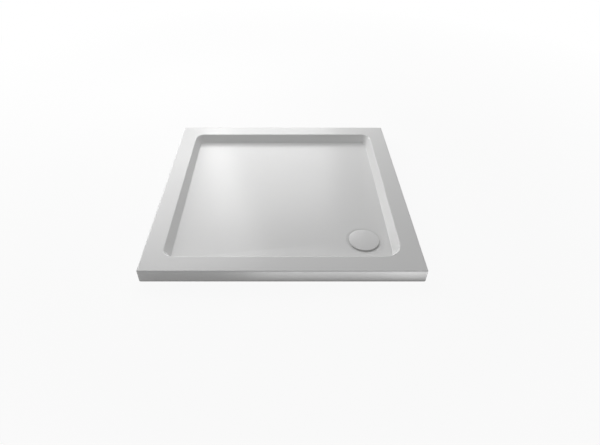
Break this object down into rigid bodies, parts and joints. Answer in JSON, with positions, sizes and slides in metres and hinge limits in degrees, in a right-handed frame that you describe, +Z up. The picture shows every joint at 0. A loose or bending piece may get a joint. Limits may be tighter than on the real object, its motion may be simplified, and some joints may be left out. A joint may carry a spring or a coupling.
{
  "type": "shower tray",
  "caption": "Low square shower tray with a flat rim and a shallow basin, a domed corner waste cover, and a clamped waste trap with a lift-out dip cup and side outlet.",
  "frame": {"origin": "centre of the tray's flat underside, the plane that is bedded on the floor", "axes": "+Z up, +X to the right in the picture, +Y to the back; the waste is near the +X, -Y corner and the trap hangs below z = 0"},
  "size_m": [0.9, 0.9, 0.1455],
  "materials": {
    "white_acrylic": "gloss",
    "stone_resin": "matte",
    "flange_plastic": "gloss",
    "soft_washer": "matte",
    "stainless_screws": "satin",
    "trap_rubber": "matte",
    "trap_plastic": "satin",
    "outlet_rubber": "matte",
    "slip_washer": "satin",
    "nut_plastic": "satin",
    "cup_plastic": "satin",
    "cup_rubber": "matte",
    "strainer_plastic": "satin",
    "cover_plastic": "gloss",
    "grip_rubber": "matte"
  },
  "bodies": {
    "tray": {"acrylic_skin": "white_acrylic", "resin_core": "stone_resin", "waste_flange": "flange_plastic", "flange_gasket": "soft_washer", "flange_screws": "stainless_screws", "trap_gasket": "trap_rubber", "trap_body": "trap_plastic", "outlet_seal": "outlet_rubber", "outlet_washer": "slip_washer", "outlet_nut": "nut_plastic"},
    "cup": {"dip_cup": "cup_plastic", "dip_cup_seal": "cup_rubber"},
    "strainer": {"hair_strainer": "strainer_plastic"},
    "cover": {"waste_cover": "cover_plastic", "cover_grip_ring": "grip_rubber"}
  },
  "joints": [
    {"name": "cup_lift", "type": "slide", "parent": "tray", "child": "cup", "axis": [0, 0, 1], "range_m": [0, 0.14]},
    {"name": "strainer_lift", "type": "slide", "parent": "cup", "child": "strainer", "axis": [0, 0, 1], "range_m": [0, 0.03]},
    {"name": "cover_lift", "type": "slide", "parent": "strainer", "child": "cover", "axis": [0, 0, 1], "range_m": [0, 0.03]}
  ]
}
